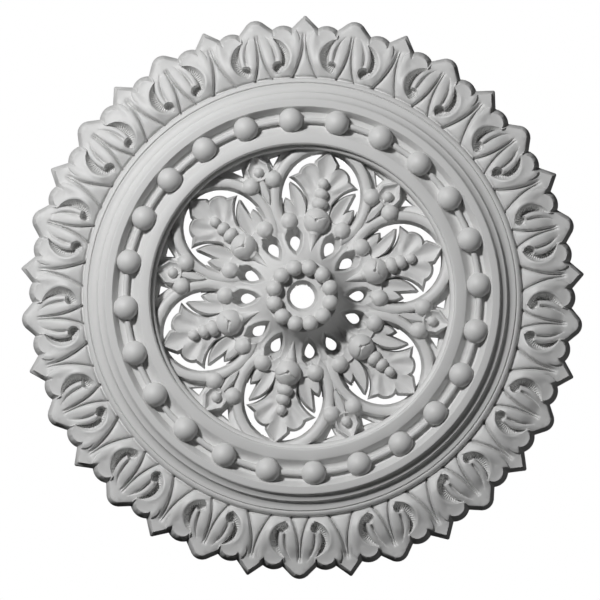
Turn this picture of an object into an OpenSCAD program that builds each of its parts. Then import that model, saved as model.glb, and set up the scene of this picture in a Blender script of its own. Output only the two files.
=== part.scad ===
// Pierced ceiling rose, moulded in one piece from dense foam.
// It hangs face down: the flat back lies on z = 0 against the ceiling, the relief
// reaches down to -z, and the cable hole runs through the middle on the z axis.
// The relief is built face up, with heights above the back, then turned over.
// Angles run clockwise from +y, seen from the face.

/* [Leaf border] */
// Radius over the pointed leaf tips
rose_r = 230; // [205:1:280]
// Number of pointed leaves, with a rounded leaf between each two
leaf_count = 17; // [14:1:20]
// Angle of the first pointed leaf
leaf_start = 0.6; // [0:0.1:20]
// Rise of a pointed tip above the notches beside it
tip_rise = 10.5; // [8:0.5:13]
// Radius of a rounded leaf's head
leaf_head_r = 9.8; // [8:0.2:12]
// Distance that a rounded leaf stops short of the pointed tips
leaf_short = 1; // [0:0.5:2]
// Bulge of the scallops between the leaves
scallop_bulge = 2.8; // [2:0.2:3.4]
// Height of the border at its rim
rim_h = 8.5; // [6:0.5:10]
// Height of the border at its crown
border_crown_h = 17; // [14:0.5:19]
// Height of the border where it meets the ring
border_foot_h = 14.5; // [12:0.5:16]
// Length of the eye carved beside each leaf
eye_length = 28; // [22:1:32]
// Width of that eye
eye_width = 7.5; // [5:0.5:9]
// Height of the eye's floor
eye_floor_h = 8; // [6:0.5:10]
// Width of the slits that mark each leaf's spear, at their foot
vein_width = 2; // [1.2:0.2:3]
// Depth of those slits
vein_depth = 1.6; // [0.8:0.2:2.4]

/* [Ring moulding] */
// Outer radius of the ring, where it stands on the border
ring_r = 178; // [172:0.5:184]
// Width of the ring up to the bead channel
ring_width = 25; // [22:0.5:28]
// Height of the ring's outer step
ring_step_h = 17.5; // [16:0.5:19]
// Height of the ring's flat top
ring_top_h = 28.5; // [27:0.5:31]
// Width of that flat top
ring_flat_width = 6.5; // [5:0.5:7]
// Width of each of the two slopes outside it
ring_slope_width = 4.5; // [3.5:0.5:5]
// Width of the ledge between the two slopes
ring_ledge_width = 1.2; // [0.6:0.1:2]
// Width of the channel that holds the beads
channel_width = 20; // [18:0.5:24]
// Height of the channel's floor
channel_floor_h = 19; // [16:0.5:21]
// Width of the flat band inside the channel
band_width = 10; // [8:0.5:12]
// Height of that band
band_h = 25.5; // [24:0.5:27]
// Width of the small step inside the band
lip_width = 3; // [2:0.5:4]
// Height of that small step
lip_h = 21; // [19:0.5:23]

/* [Beads] */
// Number of beads in the channel
bead_count = 24; // [18:1:28]
// Angle of the first bead
bead_start = 11.3; // [0:0.1:15]
// Radius of a bead
bead_r = 10; // [8:0.25:12]
// Height of the beads' centres
bead_centre_h = 24; // [22:0.5:26]
// Radius of the rod that strings the beads
rod_r = 2.3; // [1.6:0.1:3]

/* [Pierced centre] */
// Number of palmettes, and of stems between them
palmette_count = 6; // [5:1:7]
// Angle of the first palmette
palmette_start = 10.6; // [0:0.1:60]
// Height of the thin ground between the branches
ground_h = 6.5; // [5:0.5:8]
// Height of the branches
branch_h = 13; // [11:0.5:15]
// Width of a branch beside its opening
branch_width = 8; // [6:0.5:10]
// Half width of the opening round a palmette
opening_half_w = 31.5; // [28:0.5:34]
// Half length of that opening
opening_half_l = 34; // [30:0.5:36]
// Radius of a spandrel berry
berry_r = 7; // [5.5:0.25:8]
// Angle between a berry and its stem
berry_angle = 5.5; // [5:0.1:6.5]
// Radius of the small ball above the berries
ball_r = 4; // [3:0.25:5]
// Size of the small three-sided holes beside the ball
spandrel_hole = 4.6; // [3.5:0.1:5.5]

/* [Palmettes] */
// Length of a palmette's middle petal
petal_length = 41; // [36:0.5:44]
// Width of each petal
petal_width = 20; // [17:0.5:21]
// Height of the petals
petal_h = 14; // [11:0.5:16]
// Depth of the flute in each petal
flute_depth = 2.2; // [1:0.2:3]
// Length of the leaflets at a palmette's foot
leaflet_length = 31; // [26:0.5:34]
// Width of those leaflets
leaflet_width = 12.5; // [10:0.5:14]
// Radius of the bud at a palmette's foot
bud_r = 10.4; // [9:0.2:11.5]
// Distance of the bud from the middle of the rose
bud_distance = 62.5; // [60:0.5:66]
// Radius of the discs stacked on the bud
disc_r = 6.5; // [5.5:0.25:7.5]
// Radius of the knobs at the foot of the openings
knob_r = 7; // [6:0.25:8]

/* [Boss] */
// Radius of the cable hole
hole_r = 10; // [6:0.5:11]
// Radius of the flared mouth of the hole
mouth_r = 12.6; // [12:0.2:13.6]
// Height at which the flare starts
flare_h = 26; // [20:1:30]
// Number of beads round the boss
boss_bead_count = 12; // [10:1:13]
// Radius of the boss beads
boss_bead_r = 6.6; // [5.6:0.2:7.4]
// Radius of the circle of boss beads
boss_bead_circle = 23.2; // [22:0.2:25]
// Overall depth of the rose, from the back to the top of the boss beads
rose_depth = 44; // [40:1:54]
// Radius at which the neck of the boss runs out
neck_foot_r = 50; // [44:1:54]
// Length of the drop-shaped pockets round the boss
pocket_length = 22; // [18:0.5:24]
// Width of those pockets
pocket_width = 12.5; // [10:0.5:13.5]
// Length of the hole at the bottom of each pocket
pocket_hole_length = 14; // [10:0.5:16]
// Width of those holes
pocket_hole_width = 7.5; // [5:0.5:8.5]

/* [Hidden] */
$fn = 48;
eps = 0.01;
leaf_pitch = 360 / leaf_count;
notch_r = rose_r - tip_rise;
leaf_tip_r = rose_r - leaf_short;
// Half widths of the leaves where their 45 degree flanks reach the notches
tip_half_w = tip_rise;
leaf_half_w = leaf_tip_r - notch_r + leaf_head_r * (sqrt(2) - 1);
tip_half_a = asin(tip_half_w / notch_r);
leaf_half_a = asin(leaf_half_w / notch_r);
scallop_a = (tip_half_a + leaf_pitch / 2 - leaf_half_a) / 2;
scallop_chord = 2 * notch_r * sin((leaf_pitch / 2 - leaf_half_a - tip_half_a) / 2);
scallop_r = (pow(scallop_chord / 2, 2) + pow(scallop_bulge, 2)) / (2 * scallop_bulge);
channel_r = ring_r - ring_width;
band_r = channel_r - channel_width;
lip_r = band_r - band_width;
lattice_r = lip_r - lip_width;
bead_circle = channel_r - channel_width / 2;
opening_centre = lattice_r - opening_half_l;
petal_root = lattice_r - petal_length + eps;
spandrel_start = palmette_start + 180 / palmette_count;
boss_bead_h = rose_depth - boss_bead_r;
boss_lip_h = boss_bead_h - 1;
knob_distance = bud_distance + 1.5;
pocket_angle = 17.5;
pocket_start = boss_bead_circle + 12;
pocket_hole_start = pocket_start + 3;
spandrel_hole_angle = 7.9;
spandrel_hole_inset = 9.5;
spandrel_hole_r = spandrel_hole / 1.4;
boss_bead_start = 14;
// How far the centre and its leaves run into the ring
seat = 1;
// Half widths of the spears on the pointed and the rounded leaves, at their foot
tip_spear_half_w = 9.6;
leaf_spear_half_w = 7.8;
// Petals, by the angle of each and the length of the side ones
petal_angles = [-63, -32, 0, 32, 63];
side_petal_length = petal_length * 0.74;
petal_overlap = 4;
// Leaflets, knobs and the discs stacked on a bud
leaflet_h = petal_h - 2.5;
leaflet_offset = 12;
leaflet_angle = 30;
knob_angle = 21.9;
disc_distance = bud_distance + 13;
upper_disc_distance = disc_distance + 7.4;
top_ball_distance = upper_disc_distance + 8.9;
// A palmette's stem, from its toe to where it runs under the bud
stem_h = branch_h + 3;
stem_length = 18.5;
stem_toe_half_w = 1.4;
stem_half_w = 4.6;
stem_head = bud_distance - 4;
// Berries and the arched leaf of a spandrel
berry_distance = lattice_r - 21.5;
arch_length = 27;
arch_width = 20;
spandrel_bud_length = 16;
spandrel_bud_width = 5.6;
// Height of the border between the ring (s = 0) and the rim (s = 1), crowned a third in
crown_at = 0.35;
function border_h(s) = s < crown_at
    ? border_crown_h - (border_crown_h - border_foot_h) * pow(1 - s / crown_at, 2)
    : border_crown_h - (border_crown_h - rim_h) * pow((s - crown_at) / (1 - crown_at), 2);
// Radius of the arc through a chord's ends and its middle rise
function arc_r(chord, rise) = (pow(chord / 2, 2) + pow(rise, 2)) / (2 * rise);

// Repeats its children n times round the axis, each drawn along +y
module ring_of(n, start) {
    for (i = [0 : n - 1])
        rotate(-(start + i * 360 / n)) children();
}

// Petal or leaflet outline from the origin to (0, length), between two arcs
module vesica(length, width) {
    r = arc_r(length, width / 2);
    translate([0, length / 2])
        intersection() {
            translate([r - width / 2, 0]) circle(r);
            translate([width / 2 - r, 0]) circle(r);
        }
}

// Points clockwise on an arc of radius r, whose centre lies at distance d and angle a
function arc_points(d, a, r, half_angle, steps) =
    [for (i = [0 : steps])
        let (t = a - half_angle + 2 * half_angle * i / steps)
            [d * sin(a) + r * sin(t), d * cos(a) + r * cos(t)]];

// Scallop between a pointed and a rounded leaf, seen at angle a
function scallop_points(a) =
    arc_points(notch_r * cos(asin(scallop_chord / 2 / notch_r)) + scallop_bulge - scallop_r,
               a, scallop_r, asin(scallop_chord / 2 / scallop_r), 5);

// One pointed leaf at angle a, the rounded leaf after it and the scallops between
function leaf_points(a) =
    concat([[rose_r * sin(a), rose_r * cos(a)]],
           scallop_points(a + scallop_a),
           arc_points(leaf_tip_r - leaf_head_r, a + leaf_pitch / 2, leaf_head_r, 45, 6),
           scallop_points(a + leaf_pitch - scallop_a));

// Outline of the leaf border
module border_outline() {
    polygon([for (k = [0 : leaf_count - 1])
        for (point = leaf_points(leaf_start + k * leaf_pitch)) point]);
}

// Crowned section of the border, turned about the axis
module border_dome() {
    steps = 10;
    inner = ring_r - 4;
    rotate_extrude()
        polygon(concat([[inner, 0], [inner, border_foot_h]],
                       [for (i = [0 : steps])
                           [ring_r + (rose_r - ring_r) * i / steps, border_h(i / steps)]],
                       [[rose_r + 1, rim_h], [rose_r + 1, 0]]));
}

// Crescent eye on one side of a rounded leaf
module eye(side) {
    bow = 2;
    outer = arc_r(eye_length, eye_width + bow);
    inner = arc_r(eye_length, bow);
    edge = leaf_half_w + 9.5;
    middle = (ring_r + notch_r) / 2 - 2;
    translate([0, 0, eye_floor_h])
        linear_extrude(border_crown_h)
            difference() {
                translate([side * (edge - outer), middle]) circle(outer);
                translate([side * (edge - eye_width - inner), middle]) circle(inner);
            }
}

// The two tapering slits beside the spear of a leaf, meeting near its tip
module veins(foot_half_w) {
    foot = ring_r - 1;
    top = notch_r - 5;
    fork = top - 8;
    top_half_w = vein_width / 3;
    for (side = [-1, 1])
        polygon([[side * foot_half_w, foot], [side * (foot_half_w - vein_width), foot],
                 [0, fork], [0, top], [side * top_half_w, top]]);
}

// Cutter for all the veins, an even depth below the crowned surface
module vein_cuts() {
    difference() {
        linear_extrude(border_crown_h + 2) {
            ring_of(leaf_count, leaf_start) veins(tip_spear_half_w);
            ring_of(leaf_count, leaf_start + leaf_pitch / 2) veins(leaf_spear_half_w);
        }
        translate([0, 0, -vein_depth]) border_dome();
    }
}

// Leaf border with its carved eyes and veins
module leaf_border() {
    difference() {
        intersection() {
            linear_extrude(border_crown_h + 1) border_outline();
            border_dome();
        }
        vein_cuts();
        ring_of(leaf_count, leaf_start + leaf_pitch / 2) {
            eye(-1);
            eye(1);
        }
    }
}

// Turned section of the ring, the bead channel, the band and the lip
module ring_moulding() {
    bevel = 0.8;
    foot_sink = 2;
    floor_half_w = 3;
    cove_half_w = 6;
    cove_rise = 1.2;
    ledge_fall = 0.25;
    band_crest_h = band_h + 1.6;
    slope_r = channel_r + ring_flat_width;
    ledge_r = slope_r + ring_slope_width;
    lower_slope_r = ledge_r + ring_ledge_width;
    step_r = lower_slope_r + ring_slope_width;
    ledge_h = (ring_top_h + ring_step_h) / 2;
    rotate_extrude()
        polygon([[lattice_r, 0], [lattice_r, lip_h - 2.5 * bevel],
                 [lattice_r + bevel, lip_h - bevel], [lip_r, lip_h],
                 [lip_r, band_h - bevel], [lip_r + bevel, band_h],
                 [band_r - bevel, band_crest_h], [band_r, band_crest_h - bevel],
                 [bead_circle - cove_half_w, channel_floor_h + cove_rise],
                 [bead_circle - floor_half_w, channel_floor_h],
                 [bead_circle + floor_half_w, channel_floor_h],
                 [bead_circle + cove_half_w, channel_floor_h + cove_rise],
                 [channel_r, ring_top_h - bevel], [channel_r + bevel, ring_top_h],
                 [slope_r, ring_top_h], [ledge_r, ledge_h + ledge_fall],
                 [lower_slope_r, ledge_h - ledge_fall], [step_r, ring_step_h + ledge_fall],
                 [ring_r - 3 * bevel, ring_step_h], [ring_r - bevel, ring_step_h - 1.5 * bevel],
                 [ring_r, border_foot_h - foot_sink], [ring_r, 0]]);
}

// Beads and the rod between them
module bead_string() {
    rotate_extrude()
        translate([bead_circle, bead_centre_h - 1]) circle(rod_r);
    rotate_extrude()
        translate([bead_circle - rod_r * 0.7, channel_floor_h - 1])
            square([rod_r * 1.4, bead_centre_h - channel_floor_h]);
    ring_of(bead_count, bead_start)
        translate([0, bead_circle, bead_centre_h]) sphere(bead_r);
}

// Opening round a palmette
module opening(grow) {
    polygon([for (t = [0 : 10 : 350])
        [(opening_half_w + grow) * sin(t),
         opening_centre + (opening_half_l + grow) * cos(t)]]);
}

// Drop shapes either side of a palmette's stem
module drops(length, width, distance) {
    for (side = [-1, 1])
        rotate(-side * pocket_angle)
            translate([0, distance]) vesica(length, width);
}

// Cutters for the pockets round the boss and the holes at their bottoms
module pocket_cuts() {
    translate([0, 0, ground_h])
        linear_extrude(rose_depth)
            ring_of(palmette_count, palmette_start)
                drops(pocket_length, pocket_width, pocket_start);
    translate([0, 0, -1])
        linear_extrude(rose_depth)
            ring_of(palmette_count, palmette_start)
                drops(pocket_hole_length, pocket_hole_width, pocket_hole_start);
}

// Ground, branches and stems of the pierced centre, without its carving
module lattice() {
    difference() {
        union() {
            linear_extrude(ground_h) circle(lattice_r + seat);
            linear_extrude(branch_h)
                intersection() {
                    circle(lattice_r + seat);
                    union() {
                        ring_of(palmette_count, palmette_start) opening(branch_width);
                        circle(neck_foot_r);
                    }
                }
        }
        translate([0, 0, -1])
            linear_extrude(branch_h + 2) {
                ring_of(palmette_count, palmette_start)
                    difference() {
                        opening(0);
                        circle(bud_distance + bud_r / 2);
                    }
                for (side = [-1, 1])
                    ring_of(palmette_count, spandrel_start + side * spandrel_hole_angle)
                        translate([0, lattice_r - spandrel_hole_inset])
                            rotate(90) circle(spandrel_hole_r, $fn = 3);
            }
    }
}

// Places its children at the root of each of a palmette's five petals
module petals() {
    for (angle = petal_angles)
        translate([0, petal_root, 0])
            rotate(-angle)
                petal(angle == 0 ? petal_length : side_petal_length);
}

// One petal with a flute down its middle
module petal(length) {
    flute_r = 9;
    difference() {
        linear_extrude(petal_h)
            translate([0, -petal_overlap]) vesica(length + petal_overlap, petal_width);
        translate([0, petal_overlap, petal_h + flute_r - flute_depth])
            rotate([-90, 0, 0]) cylinder(r = flute_r, h = length);
    }
}

// Palmette with its leaflets, bud, stacked discs and stem
module palmette() {
    petals();
    for (side = [-1, 1]) {
        translate([side * leaflet_offset, bud_distance, 0])
            rotate(-side * leaflet_angle)
                linear_extrude(leaflet_h) vesica(leaflet_length, leaflet_width);
        rotate(-side * knob_angle)
            translate([0, knob_distance, branch_h - 1]) sphere(knob_r);
    }
    linear_extrude(branch_h - 1) translate([-8, bud_distance - 8]) square([16, 26]);
    translate([0, bud_distance, branch_h + 1]) sphere(bud_r);
    translate([0, disc_distance, petal_h]) sphere(disc_r);
    translate([0, upper_disc_distance, petal_h]) sphere(disc_r - 0.4);
    translate([0, top_ball_distance, petal_h]) sphere(ball_r);
    linear_extrude(stem_h)
        translate([0, stem_head])
            polygon([[-stem_toe_half_w, -stem_length], [stem_toe_half_w, -stem_length],
                     [stem_half_w, 0], [-stem_half_w, 0]]);
}

// Berries, ball and arched leaf where a stem meets the ring
module spandrel() {
    linear_extrude(branch_h)
        intersection() {
            translate([0, berry_distance - 4]) vesica(arch_length, arch_width);
            circle(lattice_r + seat);
        }
    for (side = [-1, 1])
        rotate(-side * berry_angle)
            translate([0, berry_distance, branch_h - 0.5]) sphere(berry_r);
    translate([0, berry_distance + 7.5, branch_h + 1]) sphere(ball_r);
    linear_extrude(branch_h)
        translate([0, berry_distance - 19]) vesica(spandrel_bud_length, spandrel_bud_width);
}

// Boss with its ring of beads and its flared neck
module boss() {
    steps = 8;
    flare = 2.2;
    inner = boss_bead_circle + 5.5;
    neck_rise = boss_bead_h - 3 - branch_h;
    function neck_h(s) = branch_h + neck_rise * pow(1 - s, flare);
    rotate_extrude()
        polygon(concat([[hole_r - 2, 0], [hole_r - 2, boss_lip_h],
                        [boss_bead_circle, boss_lip_h]],
                       [for (i = [0 : steps])
                           [inner + (neck_foot_r - inner) * i / steps, neck_h(i / steps)]],
                       [[neck_foot_r, 0]]));
    ring_of(boss_bead_count, boss_bead_start)
        translate([0, boss_bead_circle, boss_bead_h]) sphere(boss_bead_r);
}

// Cable hole with its flared mouth
module cable_hole() {
    translate([0, 0, -1]) cylinder(r = hole_r, h = rose_depth + 2);
    translate([0, 0, flare_h])
        cylinder(r1 = hole_r, r2 = mouth_r, h = boss_lip_h - flare_h + eps);
    translate([0, 0, boss_lip_h]) cylinder(r = mouth_r, h = rose_depth);
}

// The whole rose, one moulding
module ceiling_rose() {
    color([0.9, 0.9, 0.88])
        rotate([180, 0, 0])
            difference() {
                union() {
                    leaf_border();
                    ring_moulding();
                    bead_string();
                    difference() {
                        union() {
                            lattice();
                            boss();
                        }
                        pocket_cuts();
                    }
                    ring_of(palmette_count, palmette_start) palmette();
                    ring_of(palmette_count, spandrel_start) spandrel();
                }
                cable_hole();
                translate([0, 0, -50]) cylinder(r = rose_r + 5, h = 50);
            }
}

ceiling_rose();
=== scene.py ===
"""Looks of the pierced ceiling rose: one moulding sculpted as relief heights over the CAD's plan.

Relief is worked out in millimetres, face up: (u, v) are across and along a radius, h is the height
above the flat back. Each zone is sculpted once over half of its repeat, meshed, mirrored and turned
round the axis. Angles run clockwise from the face frame's +v. Turned face down, (x, y, h) becomes
(x, -y, -h) in the row frame, in metres.
"""

import math

import bmesh
import bpy
import numpy as np
from mathutils import Matrix, Vector


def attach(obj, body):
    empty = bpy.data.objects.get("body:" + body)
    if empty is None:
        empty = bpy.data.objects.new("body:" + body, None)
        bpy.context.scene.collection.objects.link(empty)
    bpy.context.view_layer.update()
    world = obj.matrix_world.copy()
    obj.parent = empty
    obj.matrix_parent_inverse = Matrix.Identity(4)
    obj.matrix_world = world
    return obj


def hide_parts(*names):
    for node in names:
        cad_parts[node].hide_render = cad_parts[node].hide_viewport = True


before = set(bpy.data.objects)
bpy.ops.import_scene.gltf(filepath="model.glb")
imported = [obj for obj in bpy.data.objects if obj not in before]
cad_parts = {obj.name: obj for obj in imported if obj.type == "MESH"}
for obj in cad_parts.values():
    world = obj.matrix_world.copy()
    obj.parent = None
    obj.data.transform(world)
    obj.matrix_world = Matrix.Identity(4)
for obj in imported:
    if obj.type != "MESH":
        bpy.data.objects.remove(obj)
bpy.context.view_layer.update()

MM = 0.001

# Plan of the rose, from the CAD
ROSE_R = 230.0
LEAVES = 17
LEAF_START = 0.6
BEADS = 24
BEAD_START = 11.3
BEAD_R = 10.0
BEAD_H = 24.0
BEAD_CIRCLE = 143.0
MOTIFS = 6
MOTIF_START = 10.6
HOLE_R = 10.0
BOSS_BEADS = 12
BOSS_START = 14.0
BOSS_BEAD_R = 6.6
BOSS_BEAD_H = 37.4
BOSS_CIRCLE = 23.2

# Places within one leaf or one motif, as (across, along) its radius
EYE = (8.8, 196.5)            # centre of the eye's outer edge, from a rounded leaf's axis
LEAF_EDGE = (-8.5, 197.5)     # centre of the curve between a rounded leaf and the eye
LEAF_EDGE_R = 25.2
OPENING = (32.2, 35.4, 83.0)  # half width, half length and middle of the opening round a palmette
PALMETTE_HEART = 82.0         # distance at which a palmette's lobes meet
BUD = 62.6                    # distance of a bud's centre
# The flattened beads stacked on a bud: distance, half width, half length, rise and height
STACK = ((76.9, 6.3, 4.9, 5.8, 13.2), (84.7, 5.3, 4.6, 5.1, 12.9), (93.3, 4.0, 4.2, 4.1, 13.0))
POCKET_ANGLE = 18.3           # of a pocket's axis from its palmette's, in degrees
HOLE_FLARE = 2.6              # widening of the cable hole's mouth

BORDER_INNER = 174.0     # the border runs under the ring as far as here
CENTRE_OUTER = 121.4     # the pierced centre runs under the ring as far as here
FOOT = 0.6               # height of the upright edge round every outline
EMPTY = -50.0            # a height far below the ground, where a part isn't there
BORDER_TRIANGLES = 2850  # of one half leaf
CENTRE_TRIANGLES = 5200  # of one half motif
RING_STEPS = 216
ROD_STEPS = 168
SHARP_ANGLE = 38         # edges that turn more than this stay sharp

CELL = 0.3               # sculpting grid, before the mesh is thinned
ON_PLANE = 1e-6          # a grid point this near a mirror plane lies on it
NEAR_PLANE = 0.8         # an open edge that thinning moved by up to this goes back on its plane
JOIN = 0.002             # points nearer than this are one


# ---------------------------------------------------------------- fields
def smax(a, b, k):
    """The larger of two heights, with a fillet of about k between them."""
    d = np.clip(0.5 + 0.5 * (a - b) / k, 0.0, 1.0)
    return b + (a - b) * d + k * d * (1.0 - d)


def smin(a, b, k):
    """The smaller of two heights, with a fillet of about k between them."""
    return -smax(-a, -b, k)


def ramp(x, lo, hi):
    """0 up to lo and 1 from hi on, with a smooth rise between."""
    t = np.clip((x - lo) / (hi - lo), 0.0, 1.0)
    return t * t * (3.0 - 2.0 * t)


def bump(x, width):
    """1 at x = 0, falling smoothly to 0 at width."""
    t = np.clip(1.0 - (x / width) ** 2, 0.0, 1.0)
    return t * t


def groove(distance, width):
    """A V with softened lips: 1 along its bottom, 0 from width on."""
    t = np.clip(1.0 - np.abs(distance) / width, 0.0, 1.0)
    return 0.4 * t * t * (3.0 - 2.0 * t) + 0.6 * t


def polar(r, degrees):
    """Across and along the axis that the angle is taken from."""
    return r * np.sin(np.radians(degrees)), r * np.cos(np.radians(degrees))


def cone45(u, v, apex):
    """Distance outside two 45 degree flanks that meet at (0, apex)."""
    u = np.abs(u)
    return np.where(v - apex > u, np.hypot(u, v - apex), (u + v - apex) / math.sqrt(2.0))


def oval(u, v, base, tip, half_w):
    """Distance inside a pointed oval that runs from base to tip."""
    du, dv = tip[0] - base[0], tip[1] - base[1]
    length = math.hypot(du, dv)
    along = ((u - base[0]) * du + (v - base[1]) * dv) / length - length / 2
    across = np.abs((u - base[0]) * dv - (v - base[1]) * du) / length
    r = ((length / 2) ** 2 + half_w ** 2) / (2 * half_w)
    return r - np.hypot(across + r - half_w, along)


def ball(u, v, centre, radius, height, slope=6.0):
    """Upper half of a ball whose centre lies at height, on a steep skirt."""
    d = np.hypot(u - centre[0], v - centre[1])
    cap = np.sqrt(np.clip(radius ** 2 - d ** 2, 0.0, None))
    return np.where(d < radius, height + cap, height - slope * (d - radius))


def raised(inside, top, slope=5.5):
    """A part with drafted sides: top inside its outline, falling off steeply outside."""
    return top - slope * np.clip(0.3 - inside, 0, None)


# ---------------------------------------------------------------- leaf border
def crowned(r):
    """Height of the border's ground: full at 191, low at the ring and at the tips."""
    inner = 17.0 - 2.5 * np.clip((191.0 - r) / 13.0, 0, 1.4) ** 2
    outer = 17.0 - 7.5 * ramp(r, 189.0, 224.0)
    return np.where(r < 191.0, inner, outer)


def border_height(r, a):
    """Border relief at angle a from a pointed leaf's axis."""
    pu, pv = polar(r, a)
    qu, qv = polar(r, 180.0 / LEAVES - a)
    base = crowned(r) - 2.0 * bump(r - 178.8, 1.6)
    body = ramp(r, 179, 190)

    tip = 1.5 - cone45(pu, pv, ROSE_R - 1.5)
    leaf = 9.8 - cone45(qu, qv, ROSE_R - 1.0 - 9.8)
    lobe_u, lobe_v = polar(209.6, 4.83)
    lobe = 12.9 - np.hypot(pu - lobe_u, pv - lobe_v)
    outline = np.maximum(np.maximum(tip, leaf), np.maximum(lobe, 217.5 - r))

    vein_p = 1.0 + 9.2 * np.clip((213.0 - pv) / 35.0, 0, 2) ** 2
    vein_q = 0.9 + 7.0 * np.clip((213.0 - qv) / 35.0, 0, 2) ** 2.6
    side_q = 12.2 - 7.3 * np.clip((qv - 194.0) / 23.5, 0, 2) ** 2.2
    c_edge = 15.2 - np.hypot(qu - EYE[0], qv - EYE[1])
    leaf_edge = np.hypot(qu - LEAF_EDGE[0], qv - LEAF_EDGE[1]) - LEAF_EDGE_R
    head = 4.7 - np.hypot(qu - 13.2, qv - 187.2)

    # Rounded leaf: a low spear between the veins, full cheeks, a rolled edge along the eye
    deep = 1 - ramp(qv, 200, 213)
    spear = base - 0.4 - 1.7 * deep * np.clip(np.abs(qu) / vein_q, 0, 1) ** 2.4
    t = np.clip((qu - vein_q) / np.maximum(side_q - vein_q, 1.0), 0, 1)
    cheek = base - 0.4 + 1.9 * (4 * t * (1 - t)) ** 0.8 * body * (1 - ramp(qv, 201, 213))
    strip = base + 0.2 + 0.7 * bump(leaf_edge + 1.9, 2.2) * ramp(qv, 186, 190) * (1 - ramp(qv, 205, 211))
    leaf_h = np.where(qu < vein_q, spear, np.where(qu < side_q, cheek, strip))
    leaf_h = leaf_h - 0.7 * ramp(r, 204, 216)
    at_tip = ramp(qv, 210.5, 217.0)
    leaf_h = leaf_h * (1 - at_tip) + (base - 0.3 - 0.9 * (qu / 10.0) ** 2) * at_tip
    leaf_h = leaf_h - 3.0 * groove(qu - vein_q, 1.6) * (1 - ramp(qv, 211, 217.5))
    leaf_h = leaf_h - 3.2 * groove(qu - side_q, 1.6) * ramp(qv, 191.5, 195) * (1 - ramp(qv, 198, 217))
    leaf_h = smax(leaf_h, ball(qu, qv, (14.6, 191.9), radius=2.0, height=15.6, slope=3.0), 0.8)

    # Claw: the other side of the eye, running out into the scallops
    deep = 1 - ramp(pv, 200, 213)
    spear = base - 0.4 - 1.7 * deep * np.clip(np.abs(pu) / vein_p, 0, 1) ** 2.4
    swell = 1.6 * bump(pu - vein_p - 5.5, 7.0) * body
    claw = base + 0.2 + swell * (1 - ramp(r, 206, 216)) + 0.9 * bump(c_edge + 1.3, 2.4) * body
    tip_h = base - 0.9 * ramp(r, 206, 216)
    over = base + 0.9 + 0.9 * bump(lobe - 2.6, 3.4) - 2.8 * np.clip(-lobe, 0, None)
    w = ramp(r, 204, 211)
    claw = claw * (1 - w) + smax(tip_h, over, 0.5) * w
    claw = np.where(pu < vein_p, spear * (1 - w) + np.maximum(tip_h, over) * w, claw)
    claw = claw - 3.2 * groove(pu - vein_p, 1.9) * (1 - ramp(pv, 210, 217.5))

    # The claw's tip lies over the rounded leaf between the eye and the notch
    claw_line = 12.65 + 0.177 * (qv - 211.2) - 0.8 * bump(qv - 215.0, 4.2)
    on_leaf = np.where(qv > 211.2, qu - claw_line, leaf_edge)
    step = np.clip((on_leaf + 0.35) / 0.7, 0, 1)
    h = leaf_h * (1 - step) + claw * step

    # Eye: a hollow that deepens from the claw towards the leaf, ending in a round head
    in_eye = (c_edge > 0) & ((leaf_edge > 0) | (head > 0)) & (qv < 211.4)
    t = np.clip(c_edge / 6.5, 0, 1)
    turn = np.arctan2(qu - EYE[0], qv - EYE[1])
    ribs = 0.65 * np.cos(42 * turn) * ramp(c_edge, 0.6, 2.0) * (1 - ramp(c_edge, 6.0, 8.0))
    bowl = base + 0.9 - 9.6 * (1 - (1 - t) ** 2.3) + ribs
    wall = leaf_h - 8.0 * np.clip(np.maximum(leaf_edge, head), 0, None)
    h = np.where(in_eye, smax(bowl, wall, 0.5), h)
    return smin(h, 0.8 + 2.3 * outline, 0.5)


# ---------------------------------------------------------------- pierced centre
def bud_height(u, v):
    """A round bud: its outward part lowered between two seams, and a pit in the middle."""
    d = np.hypot(u, v - BUD)
    a = np.degrees(np.arctan2(np.abs(u), v - BUD))
    seam = np.where(np.abs(a - 60) < 60, d * np.sin(np.radians(np.abs(a - 60 - 1.2 * (d - 5)))), 99)
    h = ball(u, v, (0, BUD), radius=10.5, height=13.2)
    h = h - 0.8 * (1 - ramp(a, 57, 63)) * ramp(d, 2, 5) * (1 - ramp(d, 8.6, 10.2))
    h = h - 0.9 * groove(seam, 0.9) * ramp(d, 0.5, 1.5) * (1 - ramp(d, 8.5, 10.4))
    return h - 3.4 * bump(d, 1.7)


def disc(u, v, at, half_w, half_l, rise, height):
    """One of the flattened beads stacked on a bud."""
    d = np.hypot(u / half_w, (v - at) / half_l)
    cap = height + rise * np.sqrt(np.clip(1 - d * d, 0, None))
    return np.where(d < 1, cap, height - 5.0 * (d - 1) * half_l)


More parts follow.
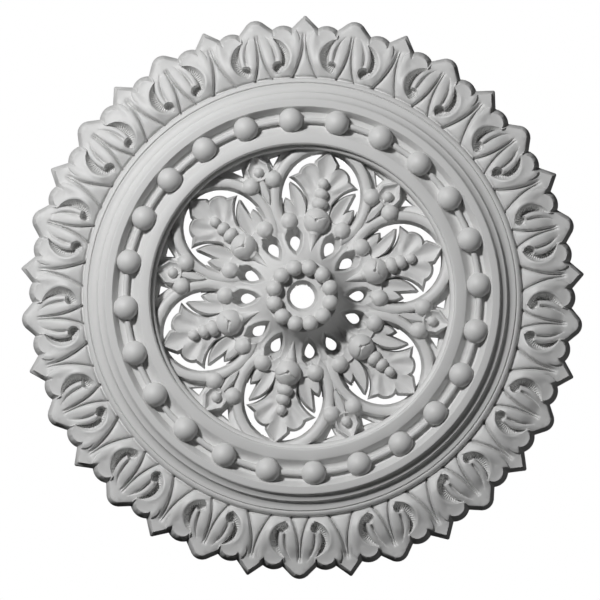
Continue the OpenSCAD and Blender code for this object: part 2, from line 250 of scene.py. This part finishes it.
def palmette_height(u, v):
    """Half a palmette: half its pointed middle lobe, two side lobes and a leaflet with a barb."""
    point = ((120.6 - v) * 8.4 - u * 10.4) / math.hypot(8.4, 10.4)
    middle = np.minimum(point, 8.3 - np.hypot(u, np.clip(110.5 - v, 0, None) * 0.8))
    shoulder = 8.2 - np.hypot(u - 11.3, v - 98.8)
    wing = np.minimum(-((u - 25.2) * 0.536 + (v - 94.6) * 0.844), np.hypot(u - 40.5, v - 63.7) - 34.5)
    wing = np.minimum(wing, np.minimum(99.5 - v, v - 70.0))
    root = 9.2 - np.hypot(u, np.clip(v, 60, 96) - v)
    inside = np.maximum(np.maximum(middle, shoulder), np.maximum(wing, root))
    turn = np.degrees(np.arctan2(u, v - PALMETTE_HEART))
    out = np.hypot(u, v - PALMETTE_HEART)
    lobes = [(0.0, 18.5), (36.0, 16.5), (70.0, 17.5)]
    q = np.minimum.reduce([np.abs(turn - axis) / half for axis, half in lobes])
    h = 10.4 + 3.9 * np.clip(out / 38.0, 0, 1.2) ** 1.4
    h = h - 1.9 * (0.5 + 0.5 * np.cos(np.pi * np.clip(q, 0, 1))) * ramp(out, 7, 17)
    h = h + 0.6 * (1 - ramp(inside, 0.3, 1.7)) * ramp(out, 12, 20)
    leaf = raised(inside, h)

    blade = oval(u, v, base=(11.0, 58.0), tip=(25.9, 89.0), half_w=6.8)
    blade = np.minimum(blade, (21.7 + (v - 75.0) * 0.3 - u) * 0.96)
    barb = oval(u, v, base=(15.0, 56.0), tip=(27.2, 75.4), half_w=4.4)
    across = ((u - 12.0) * 28.5 - (v - 60.0) * 12.0) / math.hypot(28.5, 12.0)
    hollow = 0.5 + 0.5 * np.cos(np.pi * np.clip(np.abs(across) / 6.5, 0, 1))
    leaflet = raised(np.maximum(blade, barb), 12.6 + 0.05 * (v - 75.0) - 1.8 * hollow)
    return np.maximum(leaf, leaflet)


def spandrel_height(s, t):
    """Arched leaf, berries and bud where a stem meets the ring."""
    head = ((122.6 - t) * 9.0 - s * 11.2) / math.hypot(9.0, 11.2)
    arch = np.minimum(np.minimum(8.9 - s, head), 9.6 - np.hypot(s, np.clip(109.0 - t, 0, None)))
    h = raised(arch, 15.2 - 3.9 * (1 - (1 - np.clip((arch - 1.1) / 4.6, 0, 1)) ** 2))
    h = np.maximum(h, raised(oval(s, t, base=(0, 79.5), tip=(0, 104.5), half_w=2.6), 14.4, slope=3.2))
    h = np.maximum(h, ball(s, t, (9.6, 97.9), radius=7.0, height=12.2))
    return np.maximum(h, ball(s, t, (0, 107.0), radius=4.0, height=13.4))


def pocketed(h, u, v):
    """Cuts the drop-shaped pockets and their holes beside a palmette's stem."""
    c, d = math.cos(math.radians(POCKET_ANGLE)), math.sin(math.radians(POCKET_ANGLE))
    p, q = u * c - v * d, u * d + v * c
    pocket = np.maximum(oval(p, q, base=(0, 33.5), tip=(0, 61.0), half_w=6.6), 7.2 - np.hypot(p, q - 49.0))
    pocket = np.minimum(pocket, 56.6 - 1.8 * np.clip(1 - np.abs(p) / 3.2, 0, 1) ** 1.4 - q)
    hole = np.minimum(1.0 - np.hypot((p + 0.3) / 4.2, (q - 43.8) / 6.0), 1.0) * 4.2
    rim = h + 0.6 * bump(pocket + 0.9, 1.6)
    return np.where(pocket > 0, np.minimum(rim, np.maximum(rim - 6.0 * pocket, 0.3 - 2.1 * hole)), rim)


def centre_height(r, a):
    """Relief of the pierced centre at angle a from a palmette's axis."""
    u, v = polar(r, a)
    s, t = polar(r, 180.0 / MOTIFS - a)

    half_w, half_l, middle = OPENING
    k = np.hypot(u / half_w, (v - middle) / half_l)
    gradient = np.hypot(u / half_w ** 2, (v - middle) / half_l ** 2) / np.maximum(k, 1e-6)
    edge = (k - 1.0) / np.maximum(gradient, 1e-6)

    # The ground, with the small three-sided hole beside each arch
    tri = np.minimum.reduce([114.9 - t, s - 12.3 - (115.0 - t) * 0.12,
                             ((t - 109.0) * 6.1 - (s - 13.3) * 5.8) / math.hypot(6.1, 5.8)])
    ground = np.minimum(5.5, np.minimum(5.5 * edge + 0.5, 0.3 - 4.5 * tri))
    # The branch round the opening, the web towards the boss and the boss's rise
    branch = 13.0 + 0.9 * np.clip(1 - ((edge - 5.4) / 3.2) ** 2, -0.4, 1)
    branch = np.minimum(raised(edge - 1.6, branch), raised(8.8 - edge, branch, 4.5))
    h = np.maximum(ground, branch)
    web = np.minimum(80.0 - r, np.maximum(edge - 1.6, 65.0 - r))
    h = smax(h, raised(web, 12.6, 4.0), 1.0)
    q = np.clip((r - 29.0) / 25.0, 0, 1)
    h = smax(h, np.where(r < 54.0, 12.6 + 21.0 * (1 - q) ** 2.4, EMPTY), 1.0)

    # The fork where two branches meet, then what lies over them
    fork = np.abs(s - 1.2 - 3.6 * (t - 80.0) / 11.5)
    h = h - 1.5 * groove(fork, 1.3) * ramp(t, 79.0, 81.5) * (1 - ramp(t, 92.0, 96.0))
    h = np.maximum(h, spandrel_height(s, t))
    h = np.maximum(h, palmette_height(u, v))
    h = smax(h, ball(u, v, (21.9, 58.5), radius=7.0, height=11.6), 0.5)
    h = pocketed(h, u, v)

    stem_w = np.clip((v - 36.0) / 17.0, 0, 1) * 4.6
    stem = np.maximum(h, 13.4) + 1.1 * np.sqrt(np.clip(stem_w ** 2 - u ** 2, 0, None))
    h = np.where((np.abs(u) < stem_w) & (v < 58), stem, h)
    h = np.maximum(h, bud_height(u, v))
    for bead in STACK:
        h = np.maximum(h, disc(u, v, *bead))

    # The boss and the flared mouth of the cable hole
    h = np.maximum(h, np.where(r < 24.0, 34.6, EMPTY))
    mouth = 26.0 + 8.6 * np.clip((r - HOLE_R) / HOLE_FLARE, 0, 1) ** 0.9
    return np.where(r < HOLE_R + HOLE_FLARE, mouth, h)


# ---------------------------------------------------------------- meshing
def clip_mesh(points, values, tris):
    """Cuts a triangle mesh along values = 0 and keeps the side above it."""
    inside = values > 0
    count = inside[tris].sum(1)
    kept = [tris[count == 3]]

    def lead(group, wanted):
        first = np.argmax(inside[group] == wanted, axis=1)
        return np.take_along_axis(group, (first[:, None] + np.arange(3)) % 3, axis=1)

    one = lead(tris[count == 1], True)
    two = lead(tris[count == 2], False)
    pairs = np.concatenate([one[:, [0, 1]], one[:, [0, 2]], two[:, [0, 1]], two[:, [0, 2]]])
    keys, where = np.unique(np.sort(pairs, axis=1), axis=0, return_inverse=True)
    where = where.reshape(-1) + len(points)
    va, vb = values[keys[:, 0]], values[keys[:, 1]]
    t = (va / (va - vb))[:, None]
    points = np.concatenate([points, points[keys[:, 0]] * (1 - t) + points[keys[:, 1]] * t])
    n1, n2 = len(one), len(two)
    ab1, ac1 = where[:n1], where[n1:2 * n1]
    ab2, ac2 = where[2 * n1:2 * n1 + n2], where[2 * n1 + n2:]
    kept.append(np.stack([one[:, 0], ab1, ac1], 1))
    kept.append(np.stack([ab2, two[:, 1], two[:, 2]], 1))
    kept.append(np.stack([ab2, two[:, 2], ac2], 1))
    tris = np.concatenate(kept)
    used, tris = np.unique(tris, return_inverse=True)
    return points[used], tris.reshape(-1, 3)


def relief_mesh(height, half_angle, r0, r1):
    """Closed relief over half a repeat, open only on its two mirror planes."""
    square_r = 0.35 * r0 + 0.65 * r1  # radius at which the cells are square
    rows = int((r1 - r0) / CELL)
    columns = int(math.radians(half_angle) * square_r / CELL)
    r, a = np.meshgrid(np.linspace(r0, r1, rows + 1),
                       np.linspace(0, half_angle, columns + 1), indexing="ij")
    h = height(r, a)
    x, y = polar(r, a)
    points = np.stack([x, y, h], -1).reshape(-1, 3)
    index = np.arange(points.shape[0]).reshape(rows + 1, columns + 1)
    p, q, s, t = index[:-1, :-1], index[1:, :-1], index[1:, 1:], index[:-1, 1:]
    flip = (np.add.outer(np.arange(rows), np.arange(columns)) % 2).astype(bool)
    flip = flip[..., None]
    one = np.where(flip, np.stack([p, s, q], -1), np.stack([p, t, q], -1)).reshape(-1, 3)
    two = np.where(flip, np.stack([p, t, s], -1), np.stack([q, t, s], -1)).reshape(-1, 3)
    tris = np.concatenate([one, two])
    points, tris = clip_mesh(points, points[:, 2] - FOOT, tris)

    n = len(points)
    floor = points * [1, 1, 0]
    rim = open_edges(tris, n)
    planes = on_planes(points, half_angle, ON_PLANE)
    rim = rim[~(planes[rim[:, 0]] & planes[rim[:, 1]]).any(1)]
    wall = np.concatenate([np.stack([rim[:, 1], rim[:, 0], rim[:, 0] + n], 1),
                           np.stack([rim[:, 1], rim[:, 0] + n, rim[:, 1] + n], 1)])
    return np.concatenate([points, floor]), np.concatenate([tris, tris[:, ::-1] + n, wall])


def open_edges(tris, n):
    """The edges of one triangle only, as pairs of the mesh's n points."""
    edge = np.concatenate([tris[:, [0, 1]], tris[:, [1, 2]], tris[:, [2, 0]]])
    return edge[~np.isin(edge[:, 0] * n + edge[:, 1], edge[:, 1] * n + edge[:, 0])]


def on_planes(points, half_angle, near):
    """Whether each point lies on the mirror plane at angle 0, and on the one at half_angle."""
    x, y = points[:, 0], points[:, 1]
    far = x * math.cos(math.radians(half_angle)) - y * math.sin(math.radians(half_angle))
    return np.stack([np.abs(x) < near, np.abs(far) < near], 1)


def to_object(name, points, tris):
    mesh = bpy.data.meshes.new(name)
    mesh.from_pydata(points.tolist(), [], tris.tolist())
    obj = bpy.data.objects.new(name, mesh)
    bpy.context.scene.collection.objects.link(obj)
    return obj


def from_object(obj):
    """The final points and triangles of an object, modifiers included."""
    done = obj.evaluated_get(bpy.context.evaluated_depsgraph_get())
    mesh = done.to_mesh()
    mesh.calc_loop_triangles()
    points = np.empty(len(mesh.vertices) * 3)
    tris = np.empty(len(mesh.loop_triangles) * 3, int)
    mesh.vertices.foreach_get("co", points)
    mesh.loop_triangles.foreach_get("vertices", tris)
    done.to_mesh_clear()
    return points.reshape(-1, 3), tris.reshape(-1, 3)


def drop(obj):
    mesh = obj.data
    bpy.data.objects.remove(obj)
    bpy.data.meshes.remove(mesh)


def thinned(points, tris, target, half_angle):
    """Collapses the mesh to about target triangles and puts its open edges back on the mirror planes."""
    obj = to_object("thin", points, tris)
    modifier = obj.modifiers.new("collapse", "DECIMATE")
    modifier.ratio = target / len(obj.data.polygons)
    points, tris = from_object(obj)
    drop(obj)
    rim = np.unique(open_edges(tris, len(points)))
    near = np.zeros((len(points), 2), bool)
    near[rim] = on_planes(points[rim], half_angle, NEAR_PLANE)
    points[near[:, 0], 0] = 0.0
    far = near[:, 1]
    out = np.array([math.sin(math.radians(half_angle)), math.cos(math.radians(half_angle))])
    points[far, :2] = np.outer(points[far, :2] @ out, out)
    flat = near[tris].all(1).any(1)
    return points, tris[~flat]


def repeated(points, tris, count, start, mirrored):
    """Copies of a zone round the axis, each with its mirror image, in the face frame."""
    all_points, all_tris = [], []
    sides = (1, -1) if mirrored else (1,)
    total = 0
    for k in range(count):
        angle = math.radians(start + k * 360.0 / count)
        c, s = math.cos(angle), math.sin(angle)
        for side in sides:
            x, y = points[:, 0] * side, points[:, 1]
            all_points.append(np.stack([c * x + s * y, -s * x + c * y, points[:, 2]], 1))
            all_tris.append((tris if side == 1 else tris[:, ::-1]) + total)
            total += len(points)
    return np.concatenate(all_points), np.concatenate(all_tris)


def face_down(name, points, tris):
    """The object in the row frame, in metres, with its doubled points joined."""
    obj = to_object(name, points * [MM, -MM, -MM], tris)
    bm = bmesh.new()
    bm.from_mesh(obj.data)
    bmesh.ops.remove_doubles(bm, verts=bm.verts, dist=JOIN * MM)
    bm.to_mesh(obj.data)
    bm.free()
    return obj


def lathe(profile, steps):
    """A closed profile turned round the axis, its (r, h) points anticlockwise with r to the right."""
    profile = np.array(profile, float)
    m = len(profile)
    angles = np.arange(steps) * 2 * np.pi / steps
    x = np.outer(np.sin(angles), profile[:, 0])
    y = np.outer(np.cos(angles), profile[:, 0])
    points = np.stack([x, y, np.broadcast_to(profile[:, 1], x.shape)], -1).reshape(-1, 3)
    i, j = np.meshgrid(np.arange(steps), np.arange(m), indexing="ij")
    a, b = i * m + j, i * m + (j + 1) % m
    c, d = (i + 1) % steps * m + (j + 1) % m, (i + 1) % steps * m + j
    tris = np.concatenate([np.stack([a, b, c], -1).reshape(-1, 3),
                           np.stack([a, c, d], -1).reshape(-1, 3)])
    return points, tris


def bead_mesh(radius, centre, height, foot, rings, steps):
    """A bead as a ball above height and a post down to foot, standing at distance centre."""
    levels = [(0, radius)]
    for i in range(1, rings + 1):
        t = math.radians(90.0 * i / rings)
        levels.append((radius * math.sin(t), radius * math.cos(t)))
    levels.append((radius * 0.9, foot - height))
    points = [(0, centre, height + radius)]
    for q, z in levels[1:]:
        for k in range(steps):
            t = 2 * math.pi * k / steps
            points.append((q * math.sin(t), centre + q * math.cos(t), height + z))
    points.append((0, centre, foot))
    last = len(points) - 1
    tris = []
    rows = len(levels) - 1
    for k in range(steps):
        k2 = (k + 1) % steps
        tris.append((0, 1 + k2, 1 + k))
        for i in range(rows - 1):
            p, q = 1 + i * steps, 1 + (i + 1) * steps
            tris += [(p + k, p + k2, q + k2), (p + k, q + k2, q + k)]
        p = 1 + (rows - 1) * steps
        tris.append((p + k, p + k2, last))
    return np.array(points), np.array(tris)


# ---------------------------------------------------------------- the zones
def ring_profile():
    """From the back outwards, up the outer steps, through the channel and down the inner lip."""
    back = [(119.7, 0), (178.0, 0)]
    foot = [(178.0, 11.0), (177.9, 14.2), (177.3, 15.7), (176.3, 16.7), (174.7, 17.3), (174.3, 17.2),
            (173.8, 16.2), (173.3, 17.2), (172.9, 17.6), (170.6, 17.7)]
    lower_step = [(169.6, 17.9), (167.1, 19.2), (166.7, 19.7), (165.6, 22.4), (165.3, 22.9), (164.1, 23.1)]
    upper_step = [(161.3, 24.9), (160.9, 25.4), (159.8, 28.0), (159.3, 28.4), (158.6, 28.5), (153.8, 28.5)]
    channel = [(152.9, 27.6), (149.6, 20.6), (146.4, 19.2), (139.6, 19.2), (136.4, 20.6)]
    band = [(132.8, 26.0), (131.8, 26.6), (124.4, 26.4)]
    lip = [(123.3, 25.4), (122.9, 21.0), (122.0, 20.8), (120.6, 20.0), (119.9, 18.6)]
    return back + foot + lower_step + upper_step + channel + band + lip


def rod_profile():
    """The thin rod that the beads are strung on, as a half round on two upright sides."""
    steps, rod_r, rod_h, foot = 8, 2.3, 22.6, 17.0
    arc = []
    for i in range(steps + 1):
        t = math.pi * i / steps
        arc.append((BEAD_CIRCLE + rod_r * math.cos(t), rod_h + rod_r * math.sin(t)))
    return [(BEAD_CIRCLE - rod_r, foot), (BEAD_CIRCLE + rod_r, foot)] + arc


def zone(name, height, half_angle, r0, r1, target, count, start):
    """One zone of the relief, from half a repeat to the whole turn."""
    points, tris = relief_mesh(height, half_angle, r0, r1)
    points, tris = thinned(points, tris, target, half_angle)
    return face_down(name, *repeated(points, tris, count, start, True))


def turned(name, profile, steps):
    return face_down(name, *lathe(profile, steps))


def bead_ring(name, bead, count, start):
    """A bead and its copies, evenly spaced round the axis."""
    return face_down(name, *repeated(*bead, count, start, False))


def joined(parts):
    """Union of closed meshes as one closed mesh."""
    rose = parts[0]
    for part in parts[1:]:
        modifier = rose.modifiers.new("union", "BOOLEAN")
        modifier.operation = "UNION"
        modifier.solver = "MANIFOLD"
        modifier.object = part
    points, tris = from_object(rose)
    for part in parts:
        drop(part)
    return points, tris


def build_rose():
    border = zone("border", border_height, 180.0 / LEAVES, BORDER_INNER, ROSE_R + 0.5, BORDER_TRIANGLES,
                  LEAVES, LEAF_START)
    centre = zone("centre", centre_height, 180.0 / MOTIFS, HOLE_R, CENTRE_OUTER, CENTRE_TRIANGLES,
                  MOTIFS, MOTIF_START)
    ring = turned("ring", ring_profile(), RING_STEPS)
    rod = turned("rod", rod_profile(), ROD_STEPS)
    bead = bead_mesh(BEAD_R, BEAD_CIRCLE, BEAD_H, foot=17.0, rings=7, steps=27)
    beads = bead_ring("beads", bead, BEADS, BEAD_START)
    bead = bead_mesh(BOSS_BEAD_R, BOSS_CIRCLE, BOSS_BEAD_H, foot=24.0, rings=6, steps=21)
    boss = bead_ring("boss", bead, BOSS_BEADS, BOSS_START)
    rose = to_object("rose_moulding", *joined([ring, border, centre, rod, beads, boss]))
    rose.data.shade_smooth()
    rose.data.set_sharp_from_angle(angle=math.radians(SHARP_ANGLE))
    return rose


# ---------------------------------------------------------------- finish
PRIMER_TINTS = (0.655, 0.655, 0.65, 1), (0.69, 0.69, 0.685, 1)
PRIMER_ROUGHNESS = 0.46, 0.56
PRIMER_SPECULAR = 0.4
CLOUD_SCALE = 14.0
GRAIN_SCALE = 900.0
GRAIN_DEPTH = 0.0003  # in metres


def primer():
    """Matt off-white primer: even, with the faint unevenness of a sprayed coat."""
    material = bpy.data.materials.new("matt_primer")
    material.use_nodes = True
    nodes, links = material.node_tree.nodes, material.node_tree.links
    shader = nodes["Principled BSDF"]
    place = nodes.new("ShaderNodeTexCoord")
    cloud = nodes.new("ShaderNodeTexNoise")
    cloud.inputs["Scale"].default_value = CLOUD_SCALE
    cloud.inputs["Detail"].default_value = 4.0
    grain = nodes.new("ShaderNodeTexNoise")
    grain.inputs["Scale"].default_value = GRAIN_SCALE
    grain.inputs["Detail"].default_value = 3.0
    tint = nodes.new("ShaderNodeMix")
    tint.data_type = "RGBA"
    tint.inputs["A"].default_value, tint.inputs["B"].default_value = PRIMER_TINTS
    rough = nodes.new("ShaderNodeMapRange")
    rough.inputs["To Min"].default_value, rough.inputs["To Max"].default_value = PRIMER_ROUGHNESS
    bump_node = nodes.new("ShaderNodeBump")
    bump_node.inputs["Strength"].default_value = 0.12
    bump_node.inputs["Distance"].default_value = GRAIN_DEPTH
    links.new(place.outputs["Object"], cloud.inputs["Vector"])
    links.new(place.outputs["Object"], grain.inputs["Vector"])
    links.new(cloud.outputs["Fac"], tint.inputs["Factor"])
    links.new(cloud.outputs["Fac"], rough.inputs["Value"])
    links.new(tint.outputs["Result"], shader.inputs["Base Color"])
    links.new(rough.outputs["Result"], shader.inputs["Roughness"])
    links.new(grain.outputs["Fac"], bump_node.inputs["Height"])
    links.new(bump_node.outputs["Normal"], shader.inputs["Normal"])
    shader.inputs["Specular IOR Level"].default_value = PRIMER_SPECULAR
    return material


# ---------------------------------------------------------------- stage
FLOOR_DEPTH = 3.4            # below the rose's back, and below the camera
FLOOR_HALF_WIDTH = 9.0
FLOOR_GLOW = 0.7             # paleness that only the camera sees, added to the lit floor
WORLD_FILL = 0.012
CAMERA_DISTANCE = 3.0
CAMERA_BELOW_AXIS = 1.9      # degrees, as the photo is seen
CAMERA_TARGET = (-0.00187, 0.00219, 0.0)
SENSOR_WIDTH = 36.0
VIEW_WIDTH = 0.4889          # width that the frame shows at the target, in metres


def make_floor():
    """Pale to the camera; dull to the rose, so that it throws little light up at the relief."""
    mesh = bpy.data.meshes.new("floor")
    e, z = FLOOR_HALF_WIDTH, -FLOOR_DEPTH
    mesh.from_pydata([(-e, -e, z), (e, -e, z), (e, e, z), (-e, e, z)], [], [(0, 1, 2, 3)])
    floor = bpy.data.objects.new("floor", mesh)
    bpy.context.scene.collection.objects.link(floor)
    material = bpy.data.materials.new("pale_floor")
    material.use_nodes = True
    nodes, links = material.node_tree.nodes, material.node_tree.links
    pale = nodes["Principled BSDF"]
    pale.inputs["Base Color"].default_value = (0.86, 0.86, 0.85, 1)
    pale.inputs["Roughness"].default_value = 0.9
    dull = nodes.new("ShaderNodeBsdfDiffuse")
    dull.inputs["Color"].default_value = (0.06, 0.06, 0.06, 1)
    glow = nodes.new("ShaderNodeEmission")
    glow.inputs["Strength"].default_value = FLOOR_GLOW
    lit = nodes.new("ShaderNodeAddShader")
    seen = nodes.new("ShaderNodeLightPath")
    pick = nodes.new("ShaderNodeMixShader")
    links.new(pale.outputs["BSDF"], lit.inputs[0])
    links.new(glow.outputs["Emission"], lit.inputs[1])
    links.new(seen.outputs["Is Camera Ray"], pick.inputs["Fac"])
    links.new(dull.outputs["BSDF"], pick.inputs[1])
    links.new(lit.outputs["Shader"], pick.inputs[2])
    links.new(pick.outputs["Shader"], nodes["Material Output"].inputs["Surface"])
    mesh.materials.append(material)


def white_world():
    """White to the camera, a soft grey fill to the object."""
    world = bpy.data.worlds.new("studio")
    world.use_nodes = True
    nodes, links = world.node_tree.nodes, world.node_tree.links
    fill = nodes["Background"]
    fill.inputs["Color"].default_value = (1, 1, 1, 1)
    fill.inputs["Strength"].default_value = WORLD_FILL
    white = nodes.new("ShaderNodeBackground")
    white.inputs["Color"].default_value = (1, 1, 1, 1)
    white.inputs["Strength"].default_value = 1.0
    path = nodes.new("ShaderNodeLightPath")
    pick = nodes.new("ShaderNodeMixShader")
    links.new(path.outputs["Is Camera Ray"], pick.inputs["Fac"])
    links.new(fill.outputs["Background"], pick.inputs[1])
    links.new(white.outputs["Background"], pick.inputs[2])
    links.new(pick.outputs["Shader"], nodes["World Output"].inputs["Surface"])
    bpy.context.scene.world = world


def area_light(name, toward, distance, size, watts):
    """A square lamp in the direction toward, aimed at the rose."""
    lamp = bpy.data.lights.new(name, "AREA")
    lamp.shape = "SQUARE"
    lamp.size = size
    lamp.energy = watts
    obj = bpy.data.objects.new(name, lamp)
    place = Vector(toward).normalized() * distance
    obj.location = place
    obj.rotation_euler = (-place).to_track_quat("-Z", "Y").to_euler()
    bpy.context.scene.collection.objects.link(obj)


def image_direction(right, up, toward):
    """A direction given as the photographer sees it: to the right, up, and towards the camera."""
    return (right, -up, -toward)


def make_lights():
    area_light("key", image_direction(-0.57, 0.57, 1.0), distance=2.1, size=0.18, watts=37)
    area_light("fill", image_direction(0.5, -0.3, 1.6), distance=2.4, size=1.6, watts=0.5)
    area_light("low_right", image_direction(1.0, -0.45, 0.22), distance=2.4, size=1.0, watts=2.6)
    area_light("low_left", image_direction(-1.0, 0.45, 0.22), distance=2.4, size=1.0, watts=2.6)
    area_light("above", (0.0, 0.0, 1.0), distance=2.6, size=0.5, watts=56)


def make_camera():
    camera = bpy.data.cameras.new("camera")
    camera.sensor_width = SENSOR_WIDTH
    camera.lens = SENSOR_WIDTH * CAMERA_DISTANCE / VIEW_WIDTH
    obj = bpy.data.objects.new("camera", camera)
    tilt = math.radians(CAMERA_BELOW_AXIS)
    target = Vector(CAMERA_TARGET)
    obj.location = target + CAMERA_DISTANCE * Vector((0, math.sin(tilt), -math.cos(tilt)))
    right = Vector((1, 0, 0))
    back = (obj.location - target).normalized()
    up = back.cross(right)
    rotation = Matrix((right, up, back)).transposed()
    obj.rotation_euler = rotation.to_euler()
    bpy.context.scene.collection.objects.link(obj)
    bpy.context.scene.camera = obj


rose = build_rose()
rose.data.materials.append(primer())
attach(rose, "root")
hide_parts("ceiling_rose")
make_floor()
white_world()
make_lights()
make_camera()
bpy.context.scene.view_settings.view_transform = "Standard"
